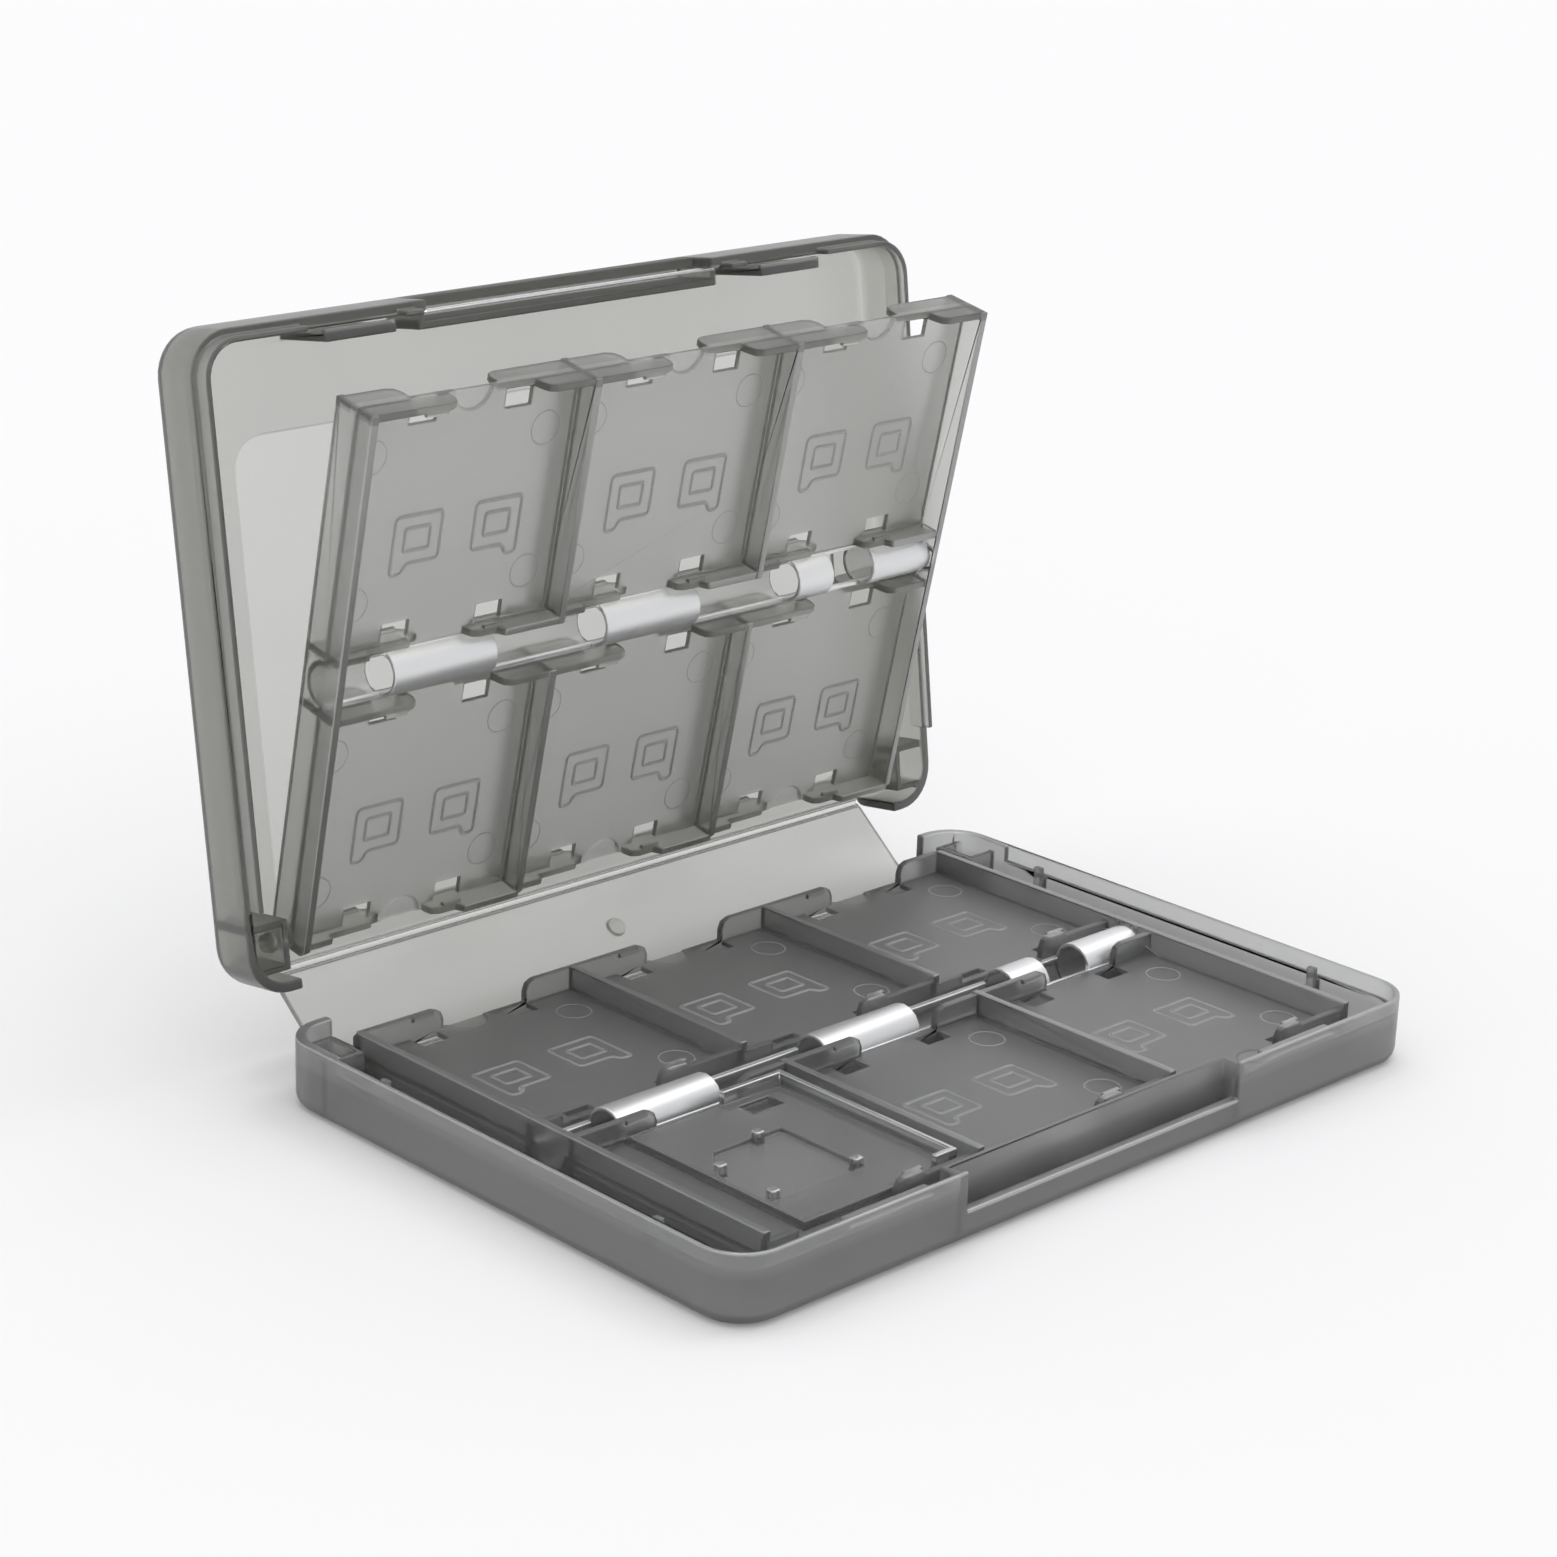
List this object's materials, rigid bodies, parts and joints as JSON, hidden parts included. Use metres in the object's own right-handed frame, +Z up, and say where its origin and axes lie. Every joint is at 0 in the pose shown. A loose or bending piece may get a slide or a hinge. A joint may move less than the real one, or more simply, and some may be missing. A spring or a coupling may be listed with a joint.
{
  "type": "game card case",
  "caption": "Smoky translucent folding case for game cards: base tray, spine and lid on living hinges, with a two-sided card leaf swinging in each half and a lift-out memory card tray.",
  "frame": {"origin": "centre of the base's underside", "axes": "+Z up, +X along the hinge, -Y towards the base's thumb recess"},
  "size_m": [0.144, 0.1264, 0.1103],
  "materials": {
    "base_plastic": "smoky translucent, satin",
    "hinge_plastic": "smoky translucent, satin",
    "lid_plastic": "smoky translucent, satin",
    "leaf_plastic": "smoky translucent, fine matt texture",
    "tray_plastic": "smoky translucent, satin"
  },
  "bodies": {
    "base": {"base_shell": "base_plastic", "base_hinge_web": "hinge_plastic"},
    "spine": {"spine": "hinge_plastic", "lid_hinge_web": "hinge_plastic"},
    "lid": {"lid_shell": "lid_plastic"},
    "upper_leaf": {"upper_leaf": "leaf_plastic"},
    "lower_leaf": {"lower_leaf": "leaf_plastic"},
    "memory_card_tray": {"memory_card_tray": "tray_plastic"}
  },
  "joints": [
    {"name": "base_hinge", "type": "hinge", "parent": "base", "child": "spine", "pos_m": [0, 0.0484, 0.0006], "axis": [-1, 0, 0], "range_deg": [-51.2, 38.8], "deforming": ["base_hinge_web"]},
    {"name": "lid_hinge", "type": "hinge", "parent": "spine", "child": "lid", "pos_m": [0, 0.06336, 0.01263], "axis": [-1, 0, 0], "range_deg": [-46.9, 43.1], "deforming": ["lid_hinge_web"]},
    {"name": "upper_leaf_pivot", "type": "hinge", "parent": "lid", "child": "upper_leaf", "pos_m": [0, 0.05918, 0.01979], "axis": [1, 0, 0], "range_deg": [-19.3, 75]},
    {"name": "lower_leaf_pivot", "type": "hinge", "parent": "base", "child": "lower_leaf", "pos_m": [0, 0.0419, 0.00575], "axis": [-1, 0, 0], "range_deg": [0, 80]},
    {"name": "tray_lift", "type": "slide", "parent": "lower_leaf", "child": "memory_card_tray", "axis": [0, 0, 1], "range_m": [0, 0.02]}
  ]
}
